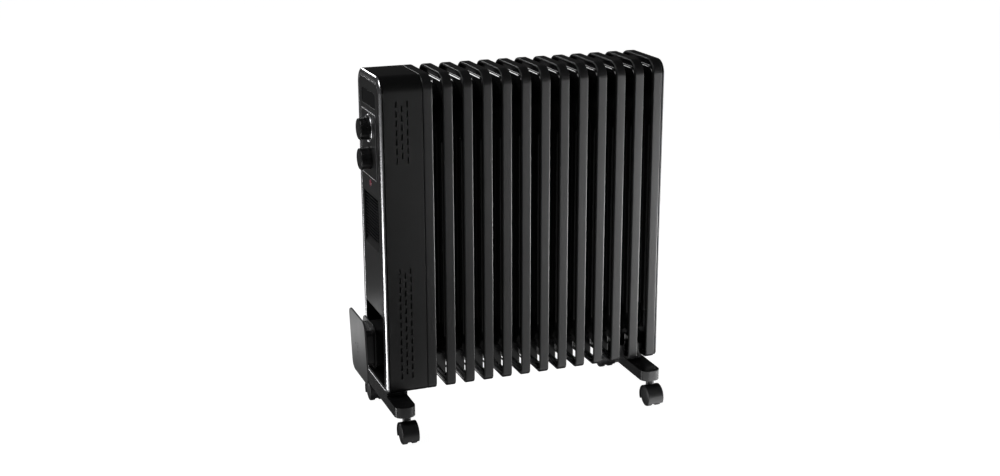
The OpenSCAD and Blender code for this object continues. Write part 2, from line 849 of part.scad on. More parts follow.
// a wheel with a domed outer face; hand is -1 on the -X side of the castor
module castor_wheel(x, side, hand) {
    y_axle = side*(stem_y + trail);
    edge = 1.2;
    color([0.12, 0.12, 0.12])
        translate([x + hand*(web_frame_t/2 + run), y_axle, wheel_r]) rotate([0, hand*90, 0])
            difference() {
                rotate_extrude() polygon([
                    [0, 0], [wheel_r - edge, 0], [wheel_r, edge], [wheel_r, wheel_t - 2*edge],
                    [wheel_r - edge, wheel_t - edge], [wheel_r*0.80, wheel_t - edge],
                    [wheel_r*0.55, wheel_t - 0.3*edge], [0, wheel_t]]);
                translate([0, 0, -1]) cylinder(r = axle_r + shaft_clear, h = wheel_t - axle_end + 1 + run);
            }
}

x_left = bar_x_left + stem_shift;
x_right = bar_x_right + stem_shift;

fin(0);  // fin_01
fin(1);  // fin_02
fin(2);  // fin_03
fin(3);  // fin_04
fin(4);  // fin_05
fin(5);  // fin_06
fin(6);  // fin_07
fin(7);  // fin_08
fin(8);  // fin_09
fin(9);  // fin_10
fin(10);  // fin_11
fin(11);  // fin_12
fin(12);  // fin_13
end_cover();
heating_element();
element_flange();
filler_plug();
tower_housing();
tower_back_plate();
panel_trim();
front_panel();
display_window();
control_plate();
thermostat_ring();
thermostat_knob();
thermostat_shaft();
thermostat_body();
power_knob();
selector_shaft();
selector_switch();
pilot_lens();
intake_grille();
cord_bay();
cord_inlet();
winder_hub();
winder_plate();
terminal_block();
tip_over_switch();
thermal_cutout();
panel_screws();
foot_bar_left();
foot_bar_right();
foot_clamps();
foot_wing_nuts();
castor_frame(x_left, -1);  // castor_fl_frame
castor_axle(x_left, -1);  // castor_fl_axle
castor_wheel(x_left, -1, -1);  // castor_fl_wheel_a
castor_wheel(x_left, -1, 1);  // castor_fl_wheel_b
castor_frame(x_right, -1);  // castor_fr_frame
castor_axle(x_right, -1);  // castor_fr_axle
castor_wheel(x_right, -1, -1);  // castor_fr_wheel_a
castor_wheel(x_right, -1, 1);  // castor_fr_wheel_b
castor_frame(x_left, 1);  // castor_rl_frame
castor_axle(x_left, 1);  // castor_rl_axle
castor_wheel(x_left, 1, -1);  // castor_rl_wheel_a
castor_wheel(x_left, 1, 1);  // castor_rl_wheel_b
castor_frame(x_right, 1);  // castor_rr_frame
castor_axle(x_right, 1);  // castor_rr_axle
castor_wheel(x_right, 1, -1);  // castor_rr_wheel_a
castor_wheel(x_right, 1, 1);  // castor_rr_wheel_b
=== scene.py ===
"""Looks of the oil-filled column radiator, laid out as an add-on and run as a script."""

import math

import bmesh
import bpy
from bpy.props import FloatProperty, FloatVectorProperty, IntProperty, PointerProperty
from mathutils import Matrix, Vector


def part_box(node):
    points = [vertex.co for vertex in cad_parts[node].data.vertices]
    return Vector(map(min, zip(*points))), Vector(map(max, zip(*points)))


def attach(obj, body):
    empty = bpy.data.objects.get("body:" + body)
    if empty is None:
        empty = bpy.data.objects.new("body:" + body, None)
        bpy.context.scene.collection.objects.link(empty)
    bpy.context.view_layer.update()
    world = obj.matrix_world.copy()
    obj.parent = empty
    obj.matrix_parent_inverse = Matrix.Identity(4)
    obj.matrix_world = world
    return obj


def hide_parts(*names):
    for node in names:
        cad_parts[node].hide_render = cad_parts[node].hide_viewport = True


bl_info = {
    "name": "Column radiator looks",
    "version": (1, 0, 0),
    "blender": (4, 5, 0),
    "location": "View3D > Sidebar > Heater",
    "description": "Builds the visible pieces, finishes and stage of a column radiator",
    "category": "Add Mesh",
}

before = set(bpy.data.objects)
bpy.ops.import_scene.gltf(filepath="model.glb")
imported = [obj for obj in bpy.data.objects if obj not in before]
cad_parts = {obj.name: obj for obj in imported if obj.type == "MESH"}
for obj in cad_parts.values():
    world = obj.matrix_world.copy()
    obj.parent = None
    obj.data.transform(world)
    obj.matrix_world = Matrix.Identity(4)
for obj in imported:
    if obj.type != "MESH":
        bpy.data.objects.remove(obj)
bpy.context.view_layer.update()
MM = 0.001

# Shared by several groups of pieces, in millimetres.
CORNER_TOP, CORNER_LOW = 27.0, 10.5  # roundings of the fins' and the trim's outline
WEB_INSET = 4.6  # from a fin's outline to its web
HUB_INSET = 75.0  # from a fin's top or foot to the hub's centre


def node_box(node):
    """Lowest and highest corner of a CAD node, in millimetres."""
    low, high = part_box(node)
    return low / MM, high / MM


# ------------------------------------------------------------------ finishes


class Value:
    """A node's socket; sums and products on it add Math nodes."""

    def __init__(self, finish, socket):
        self.finish, self.socket = finish, socket

    def math(self, operation, first, second):
        return self.finish.node("ShaderNodeMath", {"operation": operation}, {0: first, 1: second})

    def __add__(self, other):
        return self.math("ADD", self, other)

    def __radd__(self, other):
        return self.math("ADD", other, self)

    def __sub__(self, other):
        return self.math("SUBTRACT", self, other)

    def __rsub__(self, other):
        return self.math("SUBTRACT", other, self)

    def __mul__(self, other):
        return self.math("MULTIPLY", self, other)

    def __rmul__(self, other):
        return self.math("MULTIPLY", other, self)

    def __truediv__(self, other):
        return self.math("DIVIDE", self, other)

    def __pow__(self, other):
        return self.math("POWER", self, other)


class Finish:
    """One material: a Principled shader with its constants, and what varies over the surface."""

    def __init__(self, name, **constants):
        self.material = bpy.data.materials.new(name)
        self.material.use_nodes = True
        self.tree = self.material.node_tree
        self.shader = self.tree.nodes["Principled BSDF"]
        for key, value in constants.items():
            self.shader.inputs[key.replace("_", " ")].default_value = value
        self.bumps = None

    def node(self, kind, settings=None, inputs=None, output=0):
        made = self.tree.nodes.new(kind)
        for key, value in (settings or {}).items():
            if key == "stops":
                ramp = made.color_ramp
                while len(ramp.elements) < len(value):
                    ramp.elements.new(0.5)
                for element, (place, colour) in zip(ramp.elements, value):
                    element.position, element.color = place, colour
            else:
                setattr(made, key, value)
        for key, value in (inputs or {}).items():
            self.plug(made.inputs[key], value)
        return Value(self, made.outputs[output])

    def plug(self, socket, value):
        if isinstance(value, Value):
            self.tree.links.new(value.socket, socket)
        else:
            socket.default_value = value

    def place(self, scale=(1, 1, 1), turn=(0, 0, 0)):
        """Object coordinates in metres, stretched by scale."""
        where = self.node("ShaderNodeTexCoord", output=3)
        return self.node("ShaderNodeMapping", {}, {0: where, 2: turn, 3: scale})

    def noise(self, scale, detail=2.0, rough=0.5, stretch=(1, 1, 1)):
        inputs = {"Vector": self.place(stretch), "Scale": scale, "Detail": detail, "Roughness": rough}
        return self.node("ShaderNodeTexNoise", {}, inputs)

    def blend(self, factor, first, second):
        inputs = {0: factor, 6: (*first, 1), 7: (*second, 1)}
        return self.node("ShaderNodeMix", {"data_type": "RGBA"}, inputs, output=2)

    def band(self, value, low, high):
        """0 below low, 1 above high, smooth between."""
        inputs = {"Value": value, "From Min": low, "From Max": high}
        return self.node("ShaderNodeMapRange", {"interpolation_type": "SMOOTHSTEP"}, inputs)

    def split(self):
        """The Object coordinates one by one."""
        where = self.node("ShaderNodeTexCoord", output=3)
        parts = self.node("ShaderNodeSeparateXYZ", {}, {0: where}).socket.node
        return [Value(self, parts.outputs[axis]) for axis in "XYZ"]

    def math_max(self, first, second):
        return self.node("ShaderNodeMath", {"operation": "MAXIMUM"}, {0: first, 1: second})

    def absolute(self, value):
        return self.node("ShaderNodeMath", {"operation": "ABSOLUTE"}, {0: value})

    def feed(self, socket, value):
        self.plug(self.shader.inputs[socket], value)

    def bump(self, height, distance, strength=1.0):
        inputs = {"Height": height, "Distance": distance, "Strength": strength}
        if self.bumps is not None:
            inputs["Normal"] = self.bumps
        self.bumps = self.node("ShaderNodeBump", {}, inputs)
        self.feed("Normal", self.bumps)


def rim_mask(finish):
    """1 within a few millimetres of a fin's outline, 0 inside it."""
    low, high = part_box("fin_02")
    radius, near, far = CORNER_TOP * MM, 3.0 * MM, 4.5 * MM
    _, across, height = finish.split()
    side = finish.math_max(finish.absolute(across) - (high.y - radius), 0.0)
    rise = finish.math_max(height - (high.z - radius), 0.0)
    reach = (side * side + rise * rise) ** 0.5
    foot = 1 - finish.band(height, low.z + near, low.z + far)
    return finish.math_max(finish.band(reach, radius - far, radius - near), foot)


FINISHES = {}


def varied(finish, colour, spread, rough, rough_spread, scale):
    """Colour and gloss that drift a little over a surface."""
    drift = finish.noise(scale, 3.0, 0.6)
    low = tuple(c * (1 - spread) for c in colour)
    high = tuple(c * (1 + spread) for c in colour)
    finish.feed("Base Color", finish.blend(finish.band(drift, 0.3, 0.7), low, high))
    smear = finish.noise(scale * 3.1, 4.0, 0.65)
    finish.feed("Roughness", rough - rough_spread / 2 + smear * rough_spread)


def enamel(name, colour, rough, inside=None, peel=0.00012):
    """Stoved enamel on pressed steel: orange peel, small dust nibs; glossier inside a fin's rim."""
    finish = Finish(name, Specular_IOR_Level=0.5, Coat_Roughness=0.12)
    varied(finish, colour, 0.25, rough, 0.1, 9.0)
    if inside is None:
        finish.feed("Coat Weight", finish.noise(5.0, 2.0) * 0.3)
    else:
        rim = rim_mask(finish)
        smear = finish.noise(21.0, 3.0)
        finish.feed("Roughness", inside + (rough - inside) * rim + (smear - 0.5) * 0.08)
        finish.feed("Coat Weight", 0.5 - rim * 0.45)
    finish.bump(finish.noise(330.0, 2.0, 0.4), peel, 0.3)
    inputs = {"Vector": finish.place(), "Scale": 160.0, "Randomness": 1.0}
    nibs = finish.node("ShaderNodeTexVoronoi", {"feature": "F1"}, inputs)
    finish.bump(1 - finish.band(nibs, 0.0, 0.09), 0.00005, 0.5)
    FINISHES[name] = finish.material


def moulded(name, colour, rough, grain=1400.0, depth=0.00006, spread=0.2):
    """Moulded plastic with a spark-eroded grain."""
    finish = Finish(name, Specular_IOR_Level=0.5)
    varied(finish, colour, spread, rough, 0.1, 14.0)
    finish.bump(finish.noise(grain, 3.0, 0.7), depth, 0.6)
    finish.bump(finish.noise(25.0, 1.0), 0.0004, 0.15)
    FINISHES[name] = finish.material


def metal(name, colour, rough, stretch, depth=0.00002, spread=0.06):
    """Bare or plated metal with fine drawn lines."""
    finish = Finish(name, Metallic=1.0)
    varied(finish, colour, spread, rough, 0.1, 20.0)
    finish.bump(finish.noise(900.0, 3.0, 0.6, stretch), depth, 0.5)
    FINISHES[name] = finish.material


def lacquered(name, colour, rough, coat=0.6, shine=0.5):
    """Gloss plastic: smooth, with the faintest mould ripple and wiping marks."""
    finish = Finish(name, Specular_IOR_Level=shine, Coat_Roughness=0.05)
    varied(finish, colour, 0.15, rough, 0.06, 18.0)
    finish.feed("Coat Weight", coat * (1 + finish.noise(30.0, 2.0) * 0.5))
    finish.bump(finish.noise(60.0, 1.0), 0.0002, 0.08)
    FINISHES[name] = finish.material


# ------------------------------------------------------------------ mesh making


def link(name, mesh, body, finish, replaced=()):
    """Puts a mesh in the scene as a piece that rides a body."""
    piece = bpy.data.objects.new(name, mesh)
    bpy.context.scene.collection.objects.link(piece)
    mesh.materials.clear()
    mesh.materials.append(FINISHES[finish])
    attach(piece, body)
    if replaced:
        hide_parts(*replaced)
    return piece


def close(bm, name, body, finish, replaced=(), crease=32.0):
    """Turns a bmesh in millimetres into a finished piece in metres."""
    bmesh.ops.remove_doubles(bm, verts=bm.verts, dist=0.002)
    bmesh.ops.recalc_face_normals(bm, faces=bm.faces)
    bmesh.ops.scale(bm, vec=(MM, MM, MM), verts=bm.verts)
    mesh = bpy.data.meshes.new(name)
    bm.to_mesh(mesh)
    bm.free()
    mesh.shade_smooth()
    mesh.set_sharp_from_angle(angle=math.radians(crease))
    piece = link(name, mesh, body, finish, replaced)
    flatten(piece)
    return piece


def flatten(piece):
    """Keeps broad faces flat beside their rounded edges."""
    weighted = piece.modifiers.new("flat_faces", "WEIGHTED_NORMAL")
    weighted.keep_sharp, weighted.weight = True, 80


def soften(node, name, body, finish, width, segments=2, angle=30.0):
    """A copy of a CAD node, merged, with its edges rounded."""
    mesh = bpy.data.meshes.new(name)
    bm = bmesh.new()
    bm.from_mesh(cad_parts[node].data)
    bmesh.ops.remove_doubles(bm, verts=bm.verts, dist=1e-6)
    flat = math.radians(0.5)
    bmesh.ops.dissolve_limit(
        bm, angle_limit=flat, verts=bm.verts, edges=bm.edges, use_dissolve_boundaries=False
    )
    bm.to_mesh(mesh)
    bm.free()
    for layer in list(mesh.uv_layers):
        mesh.uv_layers.remove(layer)
    mesh.shade_smooth()
    mesh.set_sharp_from_angle(angle=math.radians(angle))
    piece = link(name, mesh, body, finish, [node])
    bevel = piece.modifiers.new("soft_edges", "BEVEL")
    bevel.width, bevel.segments, bevel.profile = width * MM, segments, 0.5
    bevel.limit_method, bevel.angle_limit = "ANGLE", math.radians(angle)
    bevel.use_clamp_overlap, bevel.harden_normals = True, True
    return piece


def block(bm, low, high):
    """A box between two corners; returns its vertices."""
    made = bmesh.ops.create_cube(bm, size=1.0)["verts"]
    bmesh.ops.scale(bm, vec=[h - l for l, h in zip(low, high)], verts=made)
    bmesh.ops.translate(bm, vec=[(l + h) / 2 for l, h in zip(low, high)], verts=made)
    return made


def edges_of(verts, axis=None, test=None):
    """Edges between these vertices, along an axis if one is given."""
    inside = set(verts)
    found = []
    for edge in {e for v in verts for e in v.link_edges}:
        if not (edge.verts[0] in inside and edge.verts[1] in inside):
            continue
        run = (edge.verts[1].co - edge.verts[0].co).normalized()
        if axis is not None and abs(run[axis]) < 0.999:
            continue
        if test is None or test((edge.verts[0].co + edge.verts[1].co) / 2):
            found.append(edge)
    return found


def round_off(bm, edges, radius, segments):
    bmesh.ops.bevel(
        bm, geom=edges, offset=radius, segments=segments,
        affect="EDGES", profile=0.5, material=-1, clamp_overlap=True,
    )


def plate(bm, x0, x1, half, z0, z1, r_top, r_low, edge=0.0, steps=8, edge_steps=2):
    """An upright plate with round corners and, if edge is given, rounded edges."""
    before = set(bm.verts)
    made = block(bm, (x0, -half, z0), (x1, half, z1))
    middle = (z0 + z1) / 2
    upper = edges_of(made, 0, lambda c: c.z > middle)
    lower = edges_of(made, 0, lambda c: c.z < middle)
    round_off(bm, upper, r_top, steps)
    round_off(bm, [e for e in lower if e.is_valid], r_low, steps)
    if edge:
        square = 1.2
        around = {e for v in bm.verts if v not in before for e in v.link_edges}
        rim = [e for e in around if len(e.link_faces) == 2 and e.calc_face_angle(0.0) > square]
        round_off(bm, rim, edge, edge_steps)


def lathe(bm, profile, centre, toward, steps=64):
    """Spins (radius, height) points about an axis through centre; height runs toward."""
    axis = Vector(toward).normalized()
    side = axis.orthogonal().normalized()
    points = [bm.verts.new(Vector(centre) + side * r + axis * h) for r, h in profile]
    edges = [bm.edges.new(pair) for pair in zip(points, points[1:])]
    bmesh.ops.spin(
        bm, geom=points + edges, cent=centre, axis=axis, dvec=(0, 0, 0),
        angle=math.tau, steps=steps, use_merge=True,
    )


def sweep_frame(bm, section, x, half, z0, height, r_top, r_low, steps=10):
    """Sweeps a closed section of (inwards, along X) points round a rounded rectangle."""
    points = [bm.verts.new((x + v, -half + r_low, z0 + u)) for u, v in section]
    edges = [bm.edges.new(pair) for pair in zip(points, points[1:] + points[:1])]
    upright = height - r_top - r_low
    legs = [
        (2 * (half - r_low), half - r_low, z0 + r_low, r_low),
        (upright, half - r_top, z0 + height - r_top, r_top),
        (2 * (half - r_top), -half + r_top, z0 + height - r_top, r_top),
        (upright, -half + r_low, z0 + r_low, r_low),
    ]
    heading = Vector((0, 1, 0))
    for run, y, z, radius in legs:
        made = bmesh.ops.extrude_edge_only(bm, edges=edges)["geom"]
        ahead = [g for g in made if isinstance(g, bmesh.types.BMVert)]
        bmesh.ops.translate(bm, vec=heading * run, verts=ahead)
        edges = [g for g in made if isinstance(g, bmesh.types.BMEdge)]
        turned = bmesh.ops.spin(
            bm, geom=edges, cent=(x, y, z), axis=(1, 0, 0), dvec=(0, 0, 0), angle=math.pi / 2, steps=steps
        )
        last = turned["geom_last"]
        edges = [g for g in last if isinstance(g, bmesh.types.BMEdge)]
        heading = Matrix.Rotation(math.pi / 2, 3, "X") @ heading
    bmesh.ops.remove_doubles(bm, verts=bm.verts, dist=0.01)


# ------------------------------------------------------------------ sizes


def length(name, about, default, least, most):
    return FloatProperty(name=name, description=about + ", mm", default=default, min=least, max=most)


def tint(name, about, colour):
    return FloatVectorProperty(name=name, description=about, subtype="COLOR", default=colour)


class HeaterSizes(bpy.types.PropertyGroup):
    rim_edge: length("Rim edge", "Radius of the rolled edges of a fin's rim", 2.0, 0.5, 3)
    hem: length("Hem", "How far the rim turns in", 4.2, 2, 7)
    sheet: length("Sheet", "Thickness of a fin's sheet", 1.3, 0.8, 2)
    boss_rings: IntProperty(
        name="Boss facets", description="Facets round a pressed boss", default=72, min=24, max=128
    )


class HeaterColours(bpy.types.PropertyGroup):
    enamel: tint("Enamel", "Fins and feet", (0.010, 0.010, 0.0105))
    tower: tint("Tower", "Tower housing", (0.0035, 0.0035, 0.0037))
    panel: tint("Panel", "Front panel", (0.016, 0.016, 0.0165))
    trim: tint("Trim", "Bright trim", (0.72, 0.72, 0.74))
    pilot: tint("Pilot", "Pilot light", (0.30, 0.07, 0.10))


def sizes():
    return bpy.context.scene.heater_sizes


def colours():
    return bpy.context.scene.heater_colours


FIN_NODES = ["fin_%02d" % i for i in range(1, 14)]
CASTORS = ["fl", "fr", "rl", "rr"]


class HEATER_OT_finishes(bpy.types.Operator):
    """Make every finish"""

    bl_idname = "heater.finishes"
    bl_label = "Finishes"

    def execute(self, context):
        tone = colours()
        enamel("fin_enamel", tuple(tone.enamel), 0.38, 0.17)
        # Darker than the fins' enamel: painted shade for the end cover recessed behind the last fin's rim.
        enamel("cover_shaded_enamel", (0.006, 0.006, 0.006), 0.34)
        enamel("foot_enamel", tuple(tone.enamel), 0.24)
        moulded("tower_moulding", tuple(tone.tower), 0.36)
        moulded("panel_moulding", tuple(tone.panel), 0.3)
        moulded("winder_moulding", (0.060, 0.060, 0.061), 0.36)
        metal("edge_chrome", (0.42, 0.42, 0.43), 0.36, (1, 1, 0.04), 0.000003)
        moulded("control_moulding", (0.010, 0.010, 0.0105), 0.34)
        moulded("knob_moulding", (0.008, 0.008, 0.0085), 0.28, 2200.0, 0.00003)
        moulded("castor_moulding", (0.020, 0.020, 0.021), 0.36)
        moulded("switch_moulding", (0.30, 0.28, 0.25), 0.5)
        moulded("inlet_rubber", (0.010, 0.010, 0.010), 0.7, 900.0, 0.0001)
        lacquered("window_gloss", (0.002, 0.002, 0.0024), 0.08, 0.0, 0.06)
        lacquered("pilot_gloss", tuple(tone.pilot), 0.18)
        metal("trim_chrome", tuple(tone.trim), 0.22, (1, 1, 0.04), 0.000003)
        metal("ring_chrome", (0.82, 0.82, 0.84), 0.24, (0.1, 1, 1), 0.000003)
        metal("zinc_plate", (0.55, 0.56, 0.58), 0.34, (1, 1, 1), 0.00005, 0.18)
        metal("turned_steel", (0.58, 0.58, 0.60), 0.26, (0.05, 1, 1))
        metal("element_sheath", (0.30, 0.26, 0.22), 0.42, (0.05, 1, 1), 0.00004, 0.3)
        metal("turned_brass", (0.62, 0.45, 0.18), 0.28, (0.05, 1, 1), 0.00003, 0.15)
        return {"FINISHED"}


class HEATER_OT_fins(bpy.types.Operator):
    """Pressed and welded fins with their hubs and oil channels"""

    bl_idname = "heater.fins"
    bl_label = "Fins"

    def execute(self, context):
        size = sizes()
        boxes = [node_box(n) for n in FIN_NODES]
        centres = [(low.x + high.x) / 2 for low, high in boxes[:-1]]
        pitch = centres[2] - centres[1]
        centres = [centres[1] + (i - 1) * pitch for i in range(len(FIN_NODES))]
        low, high = boxes[1]
        cover = node_box("end_cover")[0].x
        half_rim = cover - centres[-1]
        for i, x in enumerate(centres):
            last = i == len(centres) - 1
            bm = bmesh.new()
            self.rim(bm, x, half_rim, low, high, size)
            self.pressings(bm, x, pitch / 2, last, low, high, size)
            close(bm, "fin_shell_%02d" % (i + 1), "chassis", "fin_enamel", [FIN_NODES[i]])
        return {"FINISHED"}

    def rim(self, bm, x, half_rim, low, high, size):
        """Folded rim, rolled at both edges, with the seam flange that the web ends in."""
        r, t, hem, w = size.rim_edge, size.sheet, size.hem, half_rim
        border, web = 5.2, 0.95
        c = r * (1 - math.cos(math.radians(45)))
        # Points as (inwards from the outline, along X), from the outer face round to it again.
        section = [
            (0, -w + r), (0, w - r), (c * 0.45, w - c * 1.9), (c, w - c), (c * 1.9, w - c * 0.45), (r, w),
            (hem, w), (hem + 0.35, w - t * 0.5), (hem, w - t), (r + 0.3, w - t), (t, w - r - 0.3),
            (t, web + 0.6), (t + 0.6, web), (border, web), (border, -web), (t + 0.6, -web), (t, -web - 0.6),
            (t, -w + r + 0.3), (r + 0.3, -w + t), (hem, -w + t), (hem + 0.35, -w + t * 0.5), (hem, -w),
            (r, -w), (c * 1.9, -w + c * 0.45), (c, -w + c), (c * 0.45, -w + c * 1.9),
        ]
        sweep_frame(bm, section, x, high.y, low.z, high.z - low.z, CORNER_TOP, CORNER_LOW)

    def pressings(self, bm, x, reach, last, low, high, size):
        """Web, hubs with their ringed bosses, oil channels, seam welds."""
        top, bottom = high.z - HUB_INSET, low.z + HUB_INSET
        half, foot = high.y - WEB_INSET, low.z + WEB_INSET
        web, oil_panel, slope = 0.8, 5.2, 4.3
        plate(bm, x - web, x + web, half, low.z + 40.0, high.z - WEB_INSET, 22.4, 0.5)
        plate(
            bm, x - oil_panel, x + oil_panel, 57.5, bottom - 22.0, high.z - 15.0,
            20.0, 6.0, slope, edge_steps=5,
        )
        for y, z0, z1, thick in (
            (34.0, foot, low.z + 42.0, 0.87),  # tab in the middle of the lower opening
            (half, low.z + 25.5, low.z + 28.5, 0.85),  # bar across the lower opening
            (half, foot, low.z + 9.5, 0.83),  # foot of the web
            (8.5, low.z + 27.0, bottom, 0.9),  # rib from the bar to the hub
        ):
            block(bm, (x - thick, -y, z0), (x + thick, y, z1))
        for z, outer in ((top, 60.0), (bottom, 42.0)):
            for hand in (-1, 1):
                end = 7.0 if last and hand > 0 else reach
                self.boss(bm, x, z, outer, hand, end, size.boss_rings)
        for y, width, above, below in (
            (0.0, 25.0, 20.0, 20.0),
            (-28.0, 13.0, 22.0, 30.0), (28.0, 13.0, 22.0, 30.0),
            (-47.0, 13.0, 12.0, 42.0), (47.0, 13.0, 12.0, 42.0),
        ):
            for hand in (-1, 1):
                self.channel(bm, x, hand, y, width, bottom + above, top - below)

    def boss(self, bm, x, z, outer, hand, end, steps):
        """Ringed boss on one side of the web, rising in steps to the collar."""
        k = outer - 60.0
        # Points as (radius, height over the web's middle).
        rings = [
            (outer - 6, 4.8), (outer - 6, 5.25), (53.5 + k, 5.3), (52.3 + k, 5.7), (51.3 + k, 6.6),
            (46.5 + k, 6.7), (45.3 + k, 7.0), (44.4 + k, 7.9),
        ]
        if outer > 50:
            rings += [(40.0, 8.0), (38.9, 8.4), (38.0, 9.3)]
        rings += [(31.5, 9.4), (30.3, 9.8), (29.4, 10.6), (25.0, 10.7)]
        if end > 8:
            lip, face = 22.3, end - 0.02
            rings += [
                (22.8, 11.2), (21.6, 12.4), (21.6, end - 1.4), (lip, end - 0.7), (lip, face), (19.0, face),
            ]
        else:
            rings = [(r, h * 0.6) for r, h in rings] + [(22.0, 6.4), (10.0, 5.6), (0.0, 5.5)]
        lathe(bm, rings, (x, 0, z), (hand, 0, 0), steps)

    def channel(self, bm, x, hand, y, width, z0, z1):
        """One pressed oil channel with sloping flanks and round ends."""
        middle, rise, flanks = 6.2, 1.6, 3.4
        made = block(bm, (-1, y - width / 2, z0), (1, y + width / 2, z1))
        bmesh.ops.scale(bm, vec=(rise, 1, 1), verts=made)
        bmesh.ops.translate(bm, vec=(x + hand * middle, 0, 0), verts=made)
        outer = [v for v in made if (v.co.x - x) * hand > middle]
        centre = Vector((0, y, (z0 + z1) / 2))
        bmesh.ops.translate(bm, vec=-centre, verts=outer)
        bmesh.ops.scale(bm, vec=(1, 1 - flanks / width, 1 - flanks / (z1 - z0)), verts=outer)
        bmesh.ops.translate(bm, vec=centre, verts=outer)
        corners = [e for e in edges_of(made) if abs((e.verts[1].co - e.verts[0].co).normalized().x) > 0.5]
        round_off(bm, corners, width * 0.3, 4)
        crown = [
            v for v in bm.verts
            if v.is_valid and abs((v.co.x - x) * hand - middle - rise) < 0.01
            and z0 - 1 < v.co.z < z1 + 1 and abs(v.co.y - y) < width
        ]
        round_off(bm, [e for e in edges_of(crown) if e.calc_face_angle(0.0) > 0.3], 0.9, 2)


class HEATER_OT_end_cover(bpy.types.Operator):
    """Flat cover on the last fin"""

    bl_idname = "heater.end_cover"
    bl_label = "End cover"

    def execute(self, context):
        low, high = node_box("end_cover")
        bm = bmesh.new()
        plate(bm, low.x + 0.05, high.x, high.y, low.z, high.z, 25.0, 8.5, 2.4, 10, 4)
        # Its enamel is darker than the fins' as painted shade for its recess.
        close(bm, "end_cover_plate", "chassis", "cover_shaded_enamel", ["end_cover"])
        return {"FINISHED"}


class HEATER_OT_tower(bpy.types.Operator):
    """Tower housing, trim, panel, window and grille"""

    bl_idname = "heater.tower"
    bl_label = "Control tower"

    def execute(self, context):
        soften("tower_housing", "tower_shell", "chassis", "tower_moulding", 0.7, 3)
        self.trim()
        soften("front_panel", "face_panel", "chassis", "panel_moulding", 0.5, 2)
        soften("display_window", "window_pane", "chassis", "window_gloss", 0.4, 2)
        soften("control_plate", "control_inset", "chassis", "control_moulding", 0.3, 2)
        soften("intake_grille", "air_grille", "chassis", "panel_moulding", 0.3, 2)
        self.edging("control_plate", "control_edging", 5.0)
        # Dark sheets behind the vents, as painted shade inside the tower.
        self.shade_vents()
        return {"FINISHED"}

    def shade_vents(self):
        """Dark screens behind the vent slots: painted shade standing in for the dark inside of the tower
        seen through the vents.
        """
        low, high = node_box("tower_housing")
        bm = bmesh.new()
        for hand in (-1, 1):
            y0, y1 = sorted((hand * (high.y - 4.0), hand * (high.y - 4.6)))
            screen = block(bm, (low.x + 9.0, y0, low.z + 14.0), (high.x - 7.0, y1, high.z - 40.0))
            round_off(bm, edges_of(screen, 1), 3.0, 3)
        close(bm, "painted_vent_shade", "chassis", "castor_moulding")

    def trim(self):
        """Half-round bright bead round the panel, narrower under the cord bay."""
        low, high = node_box("panel_trim")
        wide, narrow, proud, thick = 14.5, 7.5, 3.9, 3.0
        inwards = {"depth": 0.0, "use_even_offset": True, "use_boundary": True}
        bm = bmesh.new()
        base = low.x + proud
        plate(bm, base, base + thick, high.y, low.z, high.z, CORNER_TOP, CORNER_LOW, steps=12)
        bmesh.ops.remove_doubles(bm, verts=bm.verts, dist=0.001)
        bm.faces.ensure_lookup_table()
        front = min(bm.faces, key=lambda f: (f.calc_center_median().x, -f.calc_area()))
        rear = max(bm.faces, key=lambda f: (f.calc_center_median().x, f.calc_area()))
        bmesh.ops.delete(bm, geom=[rear], context="FACES_ONLY")
        half, tall, slack = high.y, high.z - low.z, wide / narrow - 1
        turns = [0, 14, 30, 48, 66, 84, 96, 114, 132, 150, 166, 180]
        for start, end in zip(turns, turns[1:]):
            step = narrow / 2 * (math.cos(math.radians(start)) - math.cos(math.radians(end)))
            lift = proud * (math.sin(math.radians(end)) - math.sin(math.radians(start)))
            bmesh.ops.inset_region(bm, faces=[front], thickness=step, **inwards)
            half, tall = half - step, tall - 2 * step
            side = 1 - slack * step / half
            rise = 1 - slack * step / tall
            foot = min(v.co.z for v in front.verts)
            bmesh.ops.translate(bm, vec=(0, 0, -foot), verts=front.verts)
            bmesh.ops.scale(bm, vec=(1, side, rise), verts=front.verts)
            bmesh.ops.translate(bm, vec=(-lift, 0, foot), verts=front.verts)
            half, tall = half * side, tall * rise
        walls = bmesh.ops.extrude_face_region(bm, geom=[front])["geom"]
        back = [g for g in walls if isinstance(g, bmesh.types.BMFace)]
        bmesh.ops.translate(bm, vec=(thick, 0, 0), verts=back[0].verts)
        bmesh.ops.delete(bm, geom=back + ([front] if front.is_valid else []), context="FACES_ONLY")
        close(bm, "bright_trim", "chassis", "trim_chrome", ["panel_trim"], crease=50.0)

    def edging(self, node, name, radius):
        """A thin bright edge round a plate."""
        low, high = node_box(node)
        bm = bmesh.new()
        section = [(0.0, 0.3), (0.0, -0.3), (0.2, -0.5), (0.5, -0.5), (0.7, -0.3), (0.7, 0.3)]
        sweep_frame(bm, section, low.x, high.y, low.z, high.z - low.z, radius, radius, 6)
        close(bm, name, "chassis", "edge_chrome")


